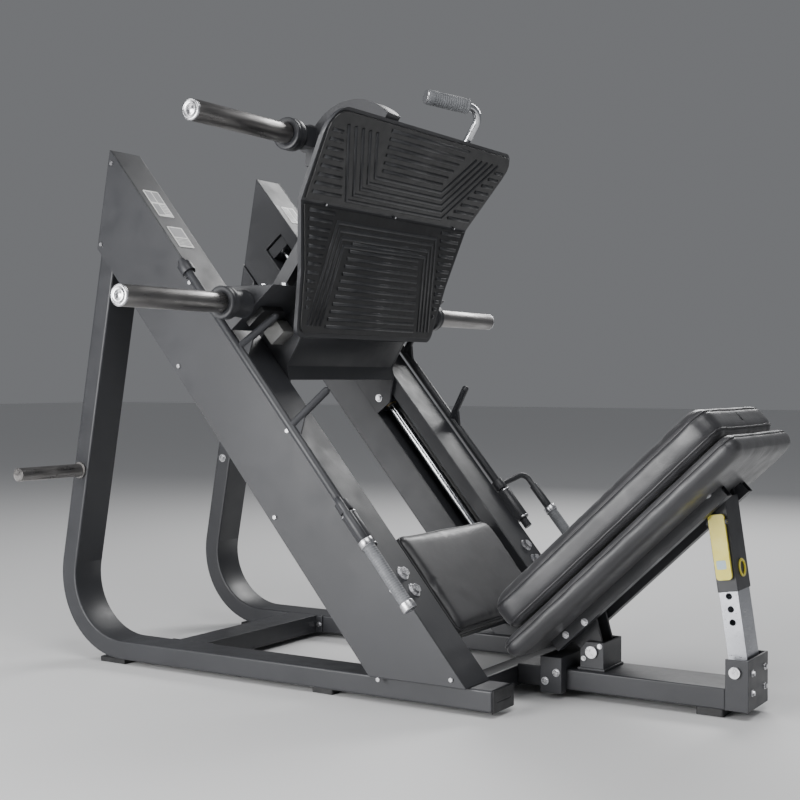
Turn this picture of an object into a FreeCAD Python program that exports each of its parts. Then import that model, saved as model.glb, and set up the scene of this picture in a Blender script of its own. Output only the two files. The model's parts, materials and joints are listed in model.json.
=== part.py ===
import FreeCAD, Part
import math
import os
from FreeCAD import Vector

# Angled plate-loaded leg press.  Millimetres, +Z up, +X from the rail tops towards the seat, +Y to the
# user's right.  Everything is first laid out from the front ends of the floor tubes (x = 0) and moved by
# X_SHIFT when it is written, which puts the origin under the middle of the machine.

# ---- driving dimensions ------------------------------------------------------------------------------
X_SHIFT = 408.974

# rails
RAIL_ANGLE = 50.4
RAIL_TOP_X = -1133.0
RAIL_TOP_Z = 1365.0
BEAM_DEPTH = 200.0
BEAM_IN = 255.0
BEAM_OUT = 367.0
SHEET = 3.0
WALL = 4.0
LIP = 40.0
RECESS_END = 110.0
RECESS_OUT = 330.0
ROD_R = 12.5
ROD_N = -78.0
ROD_Y = 290.0
RECESS_FROM = 190.0
ROD_FROM = 192.0
ROD_TO = 1560.0

# floor frame
TUBE_LOW = 14.0
TUBE_H = 50.0
TUBE_IN = 252.0
TUBE_OUT = 352.0
TUBE_WALL = 3.0
UPRIGHT_LEAN = 10.1
BEND_R = 215.0
SPINE_HALF = 72.0
SPINE_LOW = 20.0
SPINE_TOP = 69.0
SPINE_END = 438.0

# carriage
SIDE_IN = 242.0
SIDE_OUT = 250.0
ARM_OUT = 411.0
ARM_TOP_Z = 987.0
ARM_S0 = 562.0
ARM_S1 = 655.0
ARM_N0 = 30.0
SLEEVE_R = 25.0
COLLAR_R = 40.0
HUB_R = 33.0
LOWER_HORN = (-655.0, 942.0)
LOWER_COLLAR = (470.0, 500.0)
LOWER_HORN_END = 844.0
UPPER_HORN = (-592.0, 1364.0)
UPPER_STUB = 275.0
UPPER_COLLAR = (287.0, 323.0)
UPPER_HORN_END = 680.0
CAP_T = 6.0
PUSH_GRIP_R = 20.0

# foot plate: lower and upper flat, front surface of the rubber at h = 0
PLATE_BOTTOM = (-556.0, 862.0)
PLATE_KINK = (-483.0, 1183.0)
PLATE_TOP = (-345.0, 1391.5)
MAT_T = 6.0
PLATE_T = 10.0
# half outline seen from the seat: distance from the middle, height, corner radius
PLATE_OUTLINE = ((320.0, 862.0, 30.0), (350.0, 1022.0, 80.0), (400.0, 1183.0, 80.0), (459.3, 1391.5, 52.0))
MAT_INSET = 10.0

# hoop arm behind the plate's top edge
HOOP_C = (-458.0, 1306.0)
HOOP_R = 143.0
HOOP_W = 40.0
HOOP_IN = 168.0
HOOP_OUT = 228.0

# safety locks
LOCK_Y = 390.0
LOCK_N = 8.0
LOCK_R = 11.0
STOP_Y = 342.0
STOP_R = 9.5
STOPS = ((692.0, 681.0, 114.0), (940.0, 919.0, 117.0))
BUMPER_T = 15.0
GRIP_Y = 474.0
GRIP_N = 56.0
HANDLE_R = 8.0
GRIP_R = 15.0

# seat and backrest
SEAT_HALF = 240.0
BACK_X = -18.0
BACK_Z = 179.0
BACK_ANGLE = 43.25
BACK_HALF = 222.0
BACK_T0 = -30.0
BACK_T1 = 688.0
CUSHION_H = 87.0
SHELL_T0 = -52.0
SHELL_H = 52.0
FRAME_END = 560.0
FRAME_IN = 58.0
FRAME_OUT = 88.0
FRAME_H0 = -40.5
FRAME_H1 = -85.0
HINGE = (108.0, 113.0)
HINGE_R = 10.0
TONGUE_IN = 26.0
TONGUE_OUT = 34.0
CHEEK_IN = 48.0
CHEEK_OUT = 54.0
BRACKET = (78.0, 138.0, 75.0, 137.0)
STRUT_FOOT = (461.0, 107.0)
STRUT_TOP = (528.0, -50.8)
STRUT_HALF_Y = 45.0
STRUT_HALF = 24.0
STRUT_WALL = 2.5
STRUT_GAP = 0.1
LEVER_AT = 334.0
LEVER_Y = -53.0
LEVER_HALF = 19.0
LEVER_PIN_R = 2.5
PIN_AT = 225.0
HOLE_STEP = 29.5
HOLE_R = 7.5
SLOT_HALF = 38.5
RUN = 0.05

COS = math.cos(math.radians(RAIL_ANGLE))
SIN = math.sin(math.radians(RAIL_ANGLE))
BCOS = math.cos(math.radians(BACK_ANGLE))
BSIN = math.sin(math.radians(BACK_ANGLE))

os.makedirs("parts", exist_ok=True)


# ---- helpers -----------------------------------------------------------------------------------------
def save(name, *solids):
    """Write the solids of one named piece, moved to the machine's own origin."""
    shape = solids[0] if len(solids) == 1 else Part.makeCompound(list(solids))
    shape = shape.copy()
    shape.translate(Vector(X_SHIFT, 0, 0))
    shape.exportStep("parts/" + name + ".step")
    volume = sum(s.Volume for s in shape.Solids)
    print(name, len(shape.Solids), "solids", round(volume / 1000.0, 1), "cm3", shape.isValid())


def mirrored(shape):
    return shape.mirror(Vector(0, 0, 0), Vector(0, 1, 0))


def both(*shapes):
    return [s for shape in shapes for s in (shape, mirrored(shape))]


def fuse(*shapes):
    whole = shapes[0].multiFuse(list(shapes[1:])).removeSplitter()
    return whole.Solids[0] if len(whole.Solids) == 1 else whole


def box(x0, x1, y0, y1, z0, z1):
    return Part.makeBox(x1 - x0, y1 - y0, z1 - z0, Vector(x0, y0, z0))


def rod(a, b, r):
    return Part.makeCylinder(r, (b - a).Length, a, b - a)


def pipe(a, b, r, bore):
    run = (b - a).normalize() * 1.0
    return rod(a, b, r).cut(rod(a - run, b + run, bore))


def rail(s, n, y=0.0):
    """Point s down the rail and n above the beams' top face."""
    return Vector(RAIL_TOP_X + s * COS + n * SIN, y, RAIL_TOP_Z - s * SIN + n * COS)


def back(t, h, y=0.0):
    """Point t up the backrest and h above the joint between its two pads."""
    return Vector(BACK_X + t * BCOS - h * BSIN, y, BACK_Z + t * BSIN + h * BCOS)


def xz(p, y=0.0):
    return Vector(p[0], y, p[1])


def rounded(points, radii):
    """Closed flat wire through the points, each corner rounded by its own radius."""
    edges = []
    count = len(points)
    starts = []
    for i, (corner, radius) in enumerate(zip(points, radii)):
        before = (points[i - 1] - corner).normalize()
        after = (points[(i + 1) % count] - corner).normalize()
        half = before.getAngle(after) / 2
        reach = radius / math.tan(half)
        middle = (before + after).normalize() * (radius / math.sin(half) - radius)
        starts.append((corner + before * reach, corner + middle, corner + after * reach))
    for i, (a, m, b) in enumerate(starts):
        edges.append(Part.Arc(a, m, b).toShape())
        edges.append(Part.LineSegment(b, starts[(i + 1) % count][0]).toShape())
    return Part.Wire(edges)


def slab(points, reach, radius=0.0):
    """Flat outline carried along a vector."""
    radii = radius if isinstance(radius, list) else [radius] * len(points)
    wire = rounded(points, radii) if radius else Part.makePolygon(list(points) + [points[0]])
    return Part.Face(wire).extrude(reach)


def prism(points, y0, y1, radius=0.0):
    """Outline of XZ points carried from y0 to y1."""
    flat = [Vector(p[0], y0, p[-1]) for p in points]
    return slab(flat, Vector(0, y1 - y0, 0), radius)


def rail_bar(s0, s1, n0, n1, y0, y1, radius=0.0):
    return prism([rail(s0, n0), rail(s1, n0), rail(s1, n1), rail(s0, n1)], y0, y1, radius)


def back_bar(t0, t1, h0, h1, y0, y1, radius=0.0):
    return prism([back(t0, h0), back(t1, h0), back(t1, h1), back(t0, h1)], y0, y1, radius)


def bent_rod(points, bend, r):
    """Round bar along straight runs joined by tangent arcs."""
    edges = []
    last = points[0]
    for before, corner, after in zip(points, points[1:], points[2:]):
        back_dir = (before - corner).normalize()
        on_dir = (after - corner).normalize()
        half = back_dir.getAngle(on_dir) / 2
        a = corner + back_dir * (bend / math.tan(half))
        b = corner + on_dir * (bend / math.tan(half))
        m = corner + (back_dir + on_dir).normalize() * (bend / math.sin(half) - bend)
        edges.append(Part.LineSegment(last, a).toShape())
        edges.append(Part.Arc(a, m, b).toShape())
        last = b
    edges.append(Part.LineSegment(last, points[-1]).toShape())
    ring = Part.Wire([Part.makeCircle(r, points[0], points[1] - points[0])])
    return Part.Wire(edges).makePipeShell([ring], True, True)


def bolt(at, axis, r=8.0, washer=True):
    """Hexagon head, with its washer, standing on a face along axis."""
    axis = Vector(axis).normalize()
    side = axis.cross(Vector(0.31, 0.77, 0.55)).normalize()
    base = at + axis * 2.0 if washer else at
    ring = [base + FreeCAD.Rotation(axis, 60.0 * k).multVec(side * r) for k in range(6)]
    head = slab(ring, axis * r * 0.75)
    return fuse(head, rod(at, base, r * 1.35)) if washer else head


# ---- side frames (right side built, left side mirrored) ------------------------------------------------
lean = math.radians(UPRIGHT_LEAN)
lean_s = -math.sin(lean) * COS + math.cos(lean) * SIN
lean_n = math.sin(lean) * SIN + math.cos(lean) * COS
REAR_RUN = lean_s / lean_n


def beam_outline(n0, n1, inset):
    """Part of the beam's side between two depths, clear of its cut ends by inset."""
    corners = []
    for n, first in ((n0, True), (n1, False)):
        s_rear = -n * REAR_RUN + inset
        s_low = (RAIL_TOP_Z - TUBE_LOW - TUBE_H + n * COS) / SIN - inset
        corners.append((rail(s_rear, n), rail(s_low, n)) if first else (rail(s_low, n), rail(s_rear, n)))
    return [corners[0][0], corners[0][1], corners[1][0], corners[1][1]]


beam = prism(beam_outline(0.0, -BEAM_DEPTH, 0.0), BEAM_IN, BEAM_OUT)
cells = (
    (-WALL, WALL - LIP, BEAM_IN + WALL, BEAM_OUT + 1),
    (-LIP, -RECESS_END, RECESS_OUT + WALL, BEAM_OUT + 1),
    (-RECESS_END - WALL, WALL - BEAM_DEPTH, BEAM_IN + WALL, BEAM_OUT + 1),
)
for n0, n1, y0, y1 in cells:
    beam = beam.cut(prism(beam_outline(n0, n1, 6.0), y0, y1))
recess = prism(beam_outline(-LIP, -RECESS_END, 6.0), BEAM_IN - 1, RECESS_OUT)
beam = beam.cut(recess.common(rail_bar(RECESS_FROM, 2000, 50, -BEAM_DEPTH, 0, BEAM_OUT)))
panel = prism(beam_outline(0.0, -BEAM_DEPTH, 0.0), BEAM_OUT, BEAM_OUT + SHEET)

# bent floor tube: straight floor run, one bend, leaning upright up to the beam's underside
upright_dir = Vector(math.sin(lean), 0, math.cos(lean))
rear_dir = Vector(-math.cos(lean), 0, math.sin(lean))
top_rear = rail(BEAM_DEPTH * REAR_RUN, -BEAM_DEPTH)
bend_z = TUBE_LOW + BEND_R
bend_x = top_rear.x - (BEND_R - (top_rear.z - bend_z) * rear_dir.z) / rear_dir.x
bend_c = Vector(bend_x, 0, bend_z)


def floor_tube(inset, over):
    """Side of the bent tube, drawn in from its walls by inset and past its ends by over."""
    r_out = BEND_R - inset
    r_in = BEND_R - TUBE_H + inset
    mid_dir = (rear_dir + Vector(0, 0, -1)).normalize()
    low = Vector(0, 0, -1)
    reach = upright_dir * 2000.0
    a = Vector(over, 0, bend_z - r_out)
    b = bend_c + low * r_out
    c = bend_c + rear_dir * r_out
    d = c + reach
    e = bend_c + rear_dir * r_in + reach
    f = bend_c + rear_dir * r_in
    g = bend_c + low * r_in
    h = Vector(over, 0, bend_z - r_in)
    edges = [
        Part.LineSegment(a, b).toShape(),
        Part.Arc(b, bend_c + mid_dir * r_out, c).toShape(),
        Part.LineSegment(c, d).toShape(),
        Part.LineSegment(d, e).toShape(),
        Part.LineSegment(e, f).toShape(),
        Part.Arc(f, bend_c + mid_dir * r_in, g).toShape(),
        Part.LineSegment(g, h).toShape(),
        Part.LineSegment(h, a).toShape(),
    ]
    face = Part.Face(Part.Wire(edges))
    face.translate(Vector(0, TUBE_IN + inset, 0))
    return face.extrude(Vector(0, TUBE_OUT - TUBE_IN - 2 * inset, 0))


above_beam = rail_bar(-2000, 1300, -BEAM_DEPTH, 3000, 0, 600)
base_tube = floor_tube(0.0, 0.0).cut(floor_tube(TUBE_WALL, 50.0)).cut(above_beam)

for side, make in (("right", lambda s: s), ("left", mirrored)):
    save("rail_beam_" + side, make(beam))
    save("side_panel_" + side, make(panel))
    save("base_tube_" + side, make(base_tube))

tube_mid = TUBE_LOW + TUBE_H / 2
cap_plug = box(-14, 0, TUBE_IN + TUBE_WALL, TUBE_OUT - TUBE_WALL, TUBE_LOW + TUBE_WALL, TUBE_LOW + TUBE_H - TUBE_WALL)
cap_lid = box(0, 3, TUBE_IN, TUBE_OUT, TUBE_LOW, TUBE_LOW + TUBE_H)
cap_slit = box(2, 4, 270, 334, tube_mid - 4, tube_mid - 1)
save("base_end_caps", *both(fuse(cap_plug, cap_lid).cut(cap_slit)))

guide = rod(rail(ROD_FROM, ROD_N, ROD_Y), rail(ROD_TO, ROD_N, ROD_Y), ROD_R)
save("guide_rods", *both(guide))
bore = rod(rail(0, ROD_N, ROD_Y), rail(1700, ROD_N, ROD_Y), ROD_R + RUN)
rod_blocks = [rail_bar(s, s + 34, -LIP, -RECESS_END, 264, RECESS_OUT).cut(bore) for s in (RECESS_FROM + 2, 1528)]
save("guide_rod_blocks", *both(*rod_blocks))
save("rod_bumpers", *both(pipe(rail(1494, ROD_N, ROD_Y), rail(1528, ROD_N, ROD_Y), 25.0, ROD_R + RUN)))

edge = 18.0
screw_spots = [rail(-n * REAR_RUN + edge + run, n) for n in (-edge, edge - BEAM_DEPTH) for run in (0, 420, 900, 1370)]
screw_spots.append(rail(1650, -edge))
panel_screws = both(*[bolt(Vector(p.x, BEAM_OUT + SHEET, p.z), (0, 1, 0), 5.5, False) for p in screw_spots])

# ---- floor cross members -------------------------------------------------------------------------------
FLANGE = 6.0
brace = box(-1000, -905, -TUBE_IN, TUBE_IN, TUBE_LOW, TUBE_LOW + TUBE_H)
brace = brace.cut(box(-997, -908, -TUBE_IN + FLANGE, TUBE_IN - FLANGE, TUBE_LOW + 3, TUBE_LOW + TUBE_H - 3))
flanges = both(box(-1025, -885, TUBE_IN - FLANGE, TUBE_IN, TUBE_LOW, TUBE_LOW + TUBE_H))
save("rear_cross_brace", fuse(brace, *flanges))

cross = box(-130, -80, -TUBE_IN, TUBE_IN, TUBE_LOW, TUBE_LOW + TUBE_H)
save("front_cross_tube", cross.cut(box(-127, -83, -TUBE_IN - 1, TUBE_IN + 1, TUBE_LOW + 3, TUBE_LOW + TUBE_H - 3)))

spine = box(-80, SPINE_END, -SPINE_HALF, SPINE_HALF, SPINE_LOW, SPINE_TOP)
spine = spine.cut(box(-81, SPINE_END + 1, 4 - SPINE_HALF, SPINE_HALF - 4, SPINE_LOW + 4, SPINE_TOP - 4))
spine = spine.makeFillet(4.0, [e for e in spine.Edges if e.Length > 500 and abs(e.Vertexes[0].Y) > SPINE_HALF - 1])
save("spine_tube", spine)

foot_x, foot_z = STRUT_FOOT
end_box = box(SPINE_END, 491, -SPINE_HALF, SPINE_HALF, SPINE_LOW, 135)
end_box = end_box.cut(box(SPINE_END + 6, 485, 6 - SPINE_HALF, SPINE_HALF - 6, SPINE_LOW + 6, 140))
end_box = end_box.cut(box(SPINE_END - 1, SPINE_END + 7, 6 - SPINE_HALF, SPINE_HALF - 6, SPINE_TOP, 140))
foot_bore = rod(Vector(foot_x, -200, foot_z), Vector(foot_x, 200, foot_z), 8.0 + RUN)
save("spine_end_bracket", end_box.cut(foot_bore))

saddle = box(-5, 50, -100, 100, TUBE_LOW, 100).cut(box(-6, 51, -SPINE_HALF, SPINE_HALF, 0, SPINE_TOP))
save("seat_post_saddle", saddle)

hinge_x, hinge_z = HINGE
hinge_bore = rod(Vector(hinge_x, -200, hinge_z), Vector(hinge_x, 200, hinge_z), HINGE_R + RUN)
x0, x1, z0, z1 = BRACKET
cheek = prism([(x0, z0), (x1, z0), (x1, z1), (x0 + 14, z1), (x0, z1 - 20)], CHEEK_IN, CHEEK_OUT)
ledge = box(x0 + 16, x1, TONGUE_OUT + 3, CHEEK_IN, z1 - 6, z1)
web = box(x1 - 6, x1, -CHEEK_IN, CHEEK_IN, z0, z1)
hinge_base = box(x0 - 6, x1 + 4, -CHEEK_OUT - 4, CHEEK_OUT + 4, SPINE_TOP, z0)
save("hinge_bracket", fuse(hinge_base, web, *both(cheek, ledge)).cut(hinge_bore))

hinge_pin = fuse(
    rod(Vector(hinge_x, -CHEEK_OUT - 7, hinge_z), Vector(hinge_x, CHEEK_OUT + 7, hinge_z), HINGE_R),
    *both(rod(Vector(hinge_x, CHEEK_OUT, hinge_z), Vector(hinge_x, CHEEK_OUT + 7, hinge_z), 14.5)),
)
foot_pin = fuse(
    rod(Vector(foot_x, -80, foot_z), Vector(foot_x, 80, foot_z), 8.0),
    *both(rod(Vector(foot_x, SPINE_HALF, foot_z), Vector(foot_x, SPINE_HALF + 7, foot_z), 13.0)),
)
save("pivot_pins", hinge_pin, foot_pin)

rear_foot = prism([(-1200, 0), (-1112, 0), (-1112, TUBE_LOW), (-1200, TUBE_LOW)], 262, 342)
mid_foot = box(-500, -440, 262, 342, 0, TUBE_LOW)
spine_foot = box(366, 430, -60, 60, 0, SPINE_LOW)
rear_foot = rear_foot.cut(floor_tube(0.0, 0.0))
save("rubber_feet", spine_foot, *both(rear_foot, mid_foot))

peg_y0, peg_y1 = TUBE_OUT, 572.0
peg = fuse(
    rod(Vector(-1262, peg_y0, 513), Vector(-1262, peg_y1, 513), 17.5),
    rod(Vector(-1262, peg_y0, 513), Vector(-1262, peg_y0 + 6, 513), 22.0),
)
save("storage_pegs", *both(peg))

# ---- seat ----------------------------------------------------------------------------------------------
save("seat_pad", rail_bar(1262, 1560, -5, -55, -SEAT_HALF, SEAT_HALF, 14.0))
seat_parts = [rail_bar(1290, 1532, -55.5, -61, -190, 190)]
for s in (1312, 1484):
    seat_parts.append(rail_bar(s, s + 34, -120, -156, -BEAM_IN, BEAM_IN))
    seat_parts += both(rail_bar(s, s + 34, -61, -120, 90, 124))
save("seat_frame", fuse(*seat_parts))

# ---- lock brackets on the side panels --------------------------------------------------------------------
panel_out = BEAM_OUT + SHEET


def lock_bearing(s0, s1):
    sleeve = rod(rail(s0, LOCK_N, LOCK_Y), rail(s1, LOCK_N, LOCK_Y), 18.5)
    pad = rail_bar(s0, s1, LOCK_N - 24, LOCK_N + 8, panel_out, LOCK_Y - 6)
    hole = rod(rail(s0 - 5, LOCK_N, LOCK_Y), rail(s1 + 5, LOCK_N, LOCK_Y), LOCK_R + RUN)
    return fuse(sleeve, pad).cut(hole)


save("lock_brackets", *both(lock_bearing(416, 444), lock_bearing(1200, 1300)))

frame_bolts = [
    *both(bolt(rail(1377, 0, 320), (SIN, 0, COS), 13.0), bolt(rail(1425, 0, 318), (SIN, 0, COS), 13.0)),
    *both(bolt(Vector(-1262, TUBE_IN, 516), (0, -1, 0), 9.0)),
    *both(bolt(Vector(-1012, TUBE_IN - FLANGE, 38), (0, -1, 0), 7.0), bolt(Vector(-894, TUBE_IN - FLANGE, 38), (0, -1, 0), 6.0)),
    *both(bolt(Vector(8, 100, 42), (0, 1, 0), 7.0), bolt(Vector(37, 100, 64), (0, 1, 0), 7.0)),
    *both(bolt(Vector(87, CHEEK_OUT, 96), (0, 1, 0), 4.5), bolt(Vector(128, CHEEK_OUT, 128), (0, 1, 0), 4.5)),
    *both(bolt(Vector(491, 45, 60), (1, 0, 0), 6.0), bolt(Vector(491, 45, 104), (1, 0, 0), 6.0)),
]
save("frame_bolts", *frame_bolts, *panel_screws)

# ---- carriage --------------------------------------------------------------------------------------------
LD = Vector(PLATE_KINK[0] - PLATE_BOTTOM[0], 0, PLATE_KINK[1] - PLATE_BOTTOM[1])
LOWER_LEN = LD.Length
LD.normalize()
UD = Vector(PLATE_TOP[0] - PLATE_KINK[0], 0, PLATE_TOP[1] - PLATE_KINK[1])
UPPER_LEN = UD.Length
UD.normalize()
LN = Vector(LD.z, 0, -LD.x)
UN = Vector(UD.z, 0, -UD.x)
KINK = xz(PLATE_KINK)


def lower(t, h, y=0.0):
    return xz(PLATE_BOTTOM) + LD * t + LN * h + Vector(0, y, 0)


def upper(t, h, y=0.0):
    return KINK + UD * t + UN * h + Vector(0, y, 0)


def kink(h):
    return KINK + (LN + UN) * (h / (1 + LN.dot(UN)))


plate_back = -MAT_T - PLATE_T


def plate_block(inset):
    """Long block whose cross-section is the plate's outline, drawn in by inset."""
    low, high = PLATE_OUTLINE[0][1] + inset, PLATE_OUTLINE[-1][1] - inset
    half = [(y - inset, min(max(z, low), high), r - inset) for y, z, r in PLATE_OUTLINE]
    corners = [Vector(-800, y, z) for y, z, r in half] + [Vector(-800, -y, z) for y, z, r in half[::-1]]
    radii = [r for y, z, r in half] + [r for y, z, r in half[::-1]]
    return slab(corners, Vector(700, 0, 0), radii)


silhouette = plate_block(0.0)
strip = prism(
    [lower(0, -MAT_T), kink(-MAT_T), upper(UPPER_LEN, -MAT_T),
     upper(UPPER_LEN, plate_back), kink(plate_back), lower(0, plate_back)], -460, 460)
save("foot_plate", strip.common(silhouette))

mat_shape = plate_block(MAT_INSET)
mat_low = prism([lower(MAT_INSET, -1), lower(LOWER_LEN - 4, -1), lower(LOWER_LEN - 4, -MAT_T),
                 lower(MAT_INSET, -MAT_T)], -460, 460)
mat_high = prism([upper(4, -1), upper(UPPER_LEN - MAT_INSET, -1), upper(UPPER_LEN - MAT_INSET, -MAT_T),
                  upper(4, -MAT_T)], -460, 460)
save("foot_mat_lower", mat_low.common(mat_shape))
save("foot_mat_upper", mat_high.common(mat_shape))

in_front = prism(
    [lower(-300, plate_back), kink(plate_back), upper(600, plate_back), (400, 1900), (400, 500)], -600, 600)

side_plate = prism(
    [rail(640, 22), rail(652, -30), rail(672, -106), rail(826, -106), rail(826, -52), rail(785, -4),
     rail(754, 14), rail(726, 90), rail(706, 118), rail(655, 150), rail(590, 118), rail(590, 60)],
    SIDE_IN, SIDE_OUT)
side_plate = side_plate.cut(prism([rail(665, 24), rail(654, 66), rail(694, 72)], SIDE_IN - 1, SIDE_OUT + 1))
save("sled_side_plate_right", side_plate)
save("sled_side_plate_left", mirrored(side_plate))

body = [rail(785, -4), rail(754, 14), rail(726, 90), (-574, 866), (-600, 900), (-688, 884), (-712, 800), (-680, 757)]
body = [Vector(p[0], 0, p[-1]) for p in body]
beam_face = Part.Face(Part.makePolygon(body + [body[0]]))
beam_face.translate(Vector(0, -SIDE_IN, 0))
cross_beam = beam_face.extrude(Vector(0, 2 * SIDE_IN, 0)).cut(in_front)
core = beam_face.makeOffset2D(-6.0)
core.translate(Vector(0, -1, 0))
save("sled_cross_beam", cross_beam.cut(core.extrude(Vector(0, 2 * SIDE_IN + 2, 0))))


def strut_bar(a, b, half, y0, y1):
    across = Vector(-(b - a).z, 0, (b - a).x).normalize() * half
    return prism([a - across, b - across, b + across, a + across], y0, y1)


strut_low, strut_high = Vector(-690, 0, 931), Vector(-470, 0, 1231)
strut = strut_bar(strut_low, strut_high, 17.0, SIDE_OUT, SIDE_OUT + 34)
core = strut_bar(strut_low, strut_high, 14.0, SIDE_OUT + 3, SIDE_OUT + 31)
strut = strut.cut(core).cut(in_front).cut(box(-900, -300, 200, 400, 800, ARM_TOP_Z))
save("sled_struts", *both(strut))

arm_outline = [rail(ARM_S0, ARM_N0), rail(ARM_S1, ARM_N0), Vector(-562.4, 0, ARM_TOP_Z), Vector(-708.3, 0, ARM_TOP_Z)]
arm_face = Part.Face(Part.makePolygon(arm_outline + [arm_outline[0]]))
arm_face.translate(Vector(0, SIDE_OUT, 0))
arm = arm_face.extrude(Vector(0, ARM_OUT - SIDE_OUT, 0))
arm_core = arm_face.makeOffset2D(-6.0)
arm_core.translate(Vector(0, -1, 0))
arm = arm.cut(arm_core.extrude(Vector(0, ARM_OUT - SIDE_OUT - 6, 0)))
save("horn_arm_right", arm)
save("horn_arm_left", mirrored(arm))

save("catch_bumpers", *both(rail_bar(ARM_S1, ARM_S1 + BUMPER_T, 61, 122, 300, 384)))

blocks = []
bushes = []
for s in (676, 774):
    housing = rail_bar(s, s + 44, -50, -106, SIDE_OUT, 318)
    seat_hole = rod(rail(s - 5, ROD_N, ROD_Y), rail(s + 50, ROD_N, ROD_Y), 18.0 + RUN)
    blocks.append(housing.cut(seat_hole))
    bushes.append(pipe(rail(s, ROD_N, ROD_Y), rail(s + 44, ROD_N, ROD_Y), 18.0, ROD_R + RUN))
save("bearing_blocks", *both(*blocks))
save("rod_bushings", *both(*bushes))
save("side_guide_blocks", *both(rail_bar(664, 704, 36, 86, SIDE_OUT, 296, 3.0)))

sled_bolts = both(
    bolt(rail(698, -73, SIDE_IN), (0, -1, 0), 8.0),
    bolt(rail(796, -73, SIDE_IN), (0, -1, 0), 8.0),
    bolt(Vector(-653, 330, ARM_TOP_Z), (0, 0, 1), 9.0),
    bolt(Vector(-590, 330, ARM_TOP_Z), (0, 0, 1), 9.0),
)
sled_bolts += [rod(kink(1.0 - MAT_T) + Vector(0, y, 0), kink(1.0) + Vector(0, y, 0), 3.0) for y in (-303, 12, 324)]
save("sled_bolts", *sled_bolts)


def horn(axis, root, disc, end):
    """Loading sleeve with its end cap, and its collar: a narrow hub and a wide disc."""
    sleeve = pipe(xz(axis, disc[1]), xz(axis, end - CAP_T), SLEEVE_R, SLEEVE_R - 4.0)
    collar = fuse(rod(xz(axis, root), xz(axis, disc[0]), HUB_R), rod(xz(axis, disc[0]), xz(axis, disc[1]), COLLAR_R))
    cap = rod(xz(axis, end - CAP_T), xz(axis, end), SLEEVE_R)
    return sleeve, collar, cap


low_sleeve, low_collar, low_cap = horn(LOWER_HORN, ARM_OUT, LOWER_COLLAR, LOWER_HORN_END)
top_sleeve, top_collar, top_cap = horn(UPPER_HORN, UPPER_STUB, UPPER_COLLAR, UPPER_HORN_END)
save("lower_weight_sleeves", *both(low_sleeve))
save("upper_weight_sleeves", *both(top_sleeve))
save("horn_collars", *both(low_collar, top_collar))
save("horn_end_caps", *both(low_cap, top_cap))

# hoop arm on the left, straight brace on the right, both carrying the upper horn bar
hub_c = xz(HOOP_C)
horn_c = xz(UPPER_HORN)
ring = Part.makeCylinder(HOOP_R, HOOP_OUT - HOOP_IN, hub_c + Vector(0, HOOP_IN, 0), Vector(0, 1, 0))
ring = ring.cut(Part.makeCylinder(HOOP_R - HOOP_W, 100, hub_c + Vector(0, HOOP_IN - 10, 0), Vector(0, 1, 0)))
start = hub_c + Vector(-165, 0, -12)
keep = prism([hub_c, start, hub_c + Vector(-200, 0, 200), hub_c + Vector(200, 0, 200), hub_c + Vector(200, 0, 40)],
             HOOP_IN - 5, HOOP_OUT + 5)
hoop = ring.common(keep).cut(in_front)
ear = Part.makeCylinder(36.0, HOOP_OUT - HOOP_IN, horn_c + Vector(0, HOOP_IN, 0), Vector(0, 1, 0))
stub = box(horn_c.x - 25, horn_c.x + 25, HOOP_OUT, UPPER_STUB, horn_c.z - 25, horn_c.z + 25)
cross_bar = box(horn_c.x - 25, horn_c.x + 25, -HOOP_IN, UPPER_STUB, horn_c.z - 25, horn_c.z + 25)
cross_bar = cross_bar.cut(box(horn_c.x - 21, horn_c.x + 21, -HOOP_IN - 1, UPPER_STUB - 4, horn_c.z - 21, horn_c.z + 21))
brace_bar = strut_bar(Vector(-575, 0, 1352), Vector(-380, 0, 1262), 20.0, HOOP_IN, HOOP_OUT).cut(in_front)
brace_bar = brace_bar.cut(box(horn_c.x - 25, horn_c.x + 25, -300, 300, horn_c.z - 25, horn_c.z + 25))
save("upper_horn_bar", fuse(cross_bar, brace_bar))
save("hoop_arm", mirrored(fuse(hoop, ear, stub)))

h0 = upper(140, plate_back - 11.5, 200)
h1 = Vector(-326, 205, 1480)
h2 = Vector(-421, 70, 1503)
HANDLE_BEND = 36.0
handle = bent_rod([h0, h1, h2], HANDLE_BEND, 11.0)
save("push_handle", handle)
along = (h2 - h1).normalize()
grip_from = HANDLE_BEND / math.tan((h0 - h1).getAngle(h2 - h1) / 2) + 2
grip = pipe(h1 + along * grip_from, h2, PUSH_GRIP_R, 11.0 + RUN)
save("push_grip", grip, rod(h2, h2 + along * 5, PUSH_GRIP_R))
print("grip from", grip_from)


# ---- safety locks ----------------------------------------------------------------------------------------
def lock_shaft():
    """Shaft with its two stop arms and their gussets."""
    pieces = [rod(rail(404, LOCK_N, LOCK_Y), rail(1326, LOCK_N, LOCK_Y), LOCK_R)]
    for s_base, s_tip, n_tip in STOPS:
        base = rail(s_base, LOCK_N, LOCK_Y)
        tip = rail(s_tip, n_tip, STOP_Y)
        pieces.append(rod(base, tip, STOP_R))
        pieces.append(Part.makeSphere(STOP_R, tip))
        near = base + (tip - base) * 0.45
        down = Vector(COS, 0, -SIN)
        normal = (tip - base).cross(down).normalize() * 7.0
        gusset = [base, near, base + down * 42.0]
        pieces.append(slab([p - normal * 0.5 for p in gusset], normal))
    return fuse(*pieces)


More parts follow.
